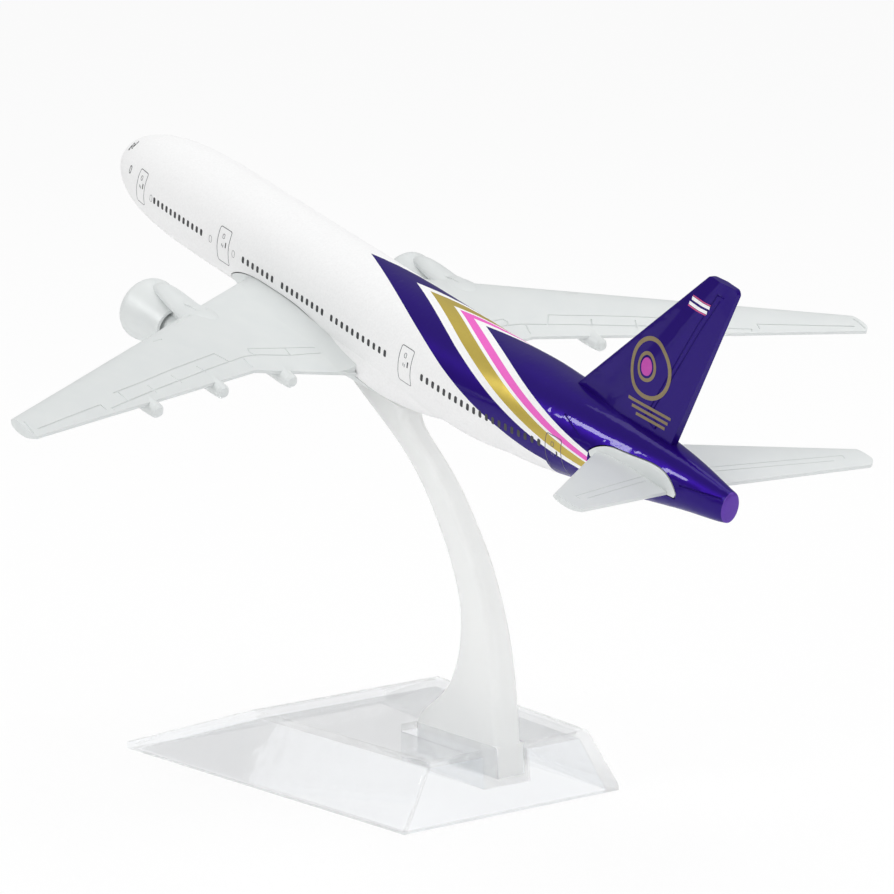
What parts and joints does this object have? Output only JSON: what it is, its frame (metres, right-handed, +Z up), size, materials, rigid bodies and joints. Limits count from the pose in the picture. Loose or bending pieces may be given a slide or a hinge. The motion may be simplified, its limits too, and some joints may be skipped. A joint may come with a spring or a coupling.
{
  "type": "desktop airliner model",
  "caption": "Desk display model of a wide-body jet airliner, held nose-up on a curved frosted stem that plugs into a clear wedge-shaped base.",
  "frame": {"origin": "under the middle of the model's bounding box, on the surface that the base stands on", "axes": "+Z up; the airliner's nose points along -X and its port wing along -Y"},
  "size_m": [0.151, 0.1508, 0.0926],
  "materials": {
    "body_paint": "gloss white, deep purple at the tail",
    "wing_paint": "satin light grey",
    "screw_steel": "plain",
    "fan_metal": "satin dark grey",
    "stem_plastic": "frosted, milky",
    "base_plastic": "clear, polished"
  },
  "bodies": {
    "base": {"base": "base_plastic"},
    "stem": {"stem": "stem_plastic"},
    "airliner": {"fuselage": "body_paint", "wing": "wing_paint", "wing_screws": "screw_steel", "nacelle_port": "wing_paint", "nacelle_starboard": "wing_paint", "fan_port": "fan_metal", "fan_starboard": "fan_metal", "exhaust_plug_port": "fan_metal", "exhaust_plug_starboard": "fan_metal", "tailplane_port": "wing_paint", "tailplane_starboard": "wing_paint"}
  },
  "joints": [
    {"name": "stem_lift", "type": "slide", "parent": "base", "child": "stem", "axis": [0, 0, 1], "range_m": [0, 0.012]},
    {"name": "airliner_lift", "type": "slide", "parent": "stem", "child": "airliner", "axis": [0.2635, 0, 0.9646], "range_m": [0, 0.012]}
  ]
}
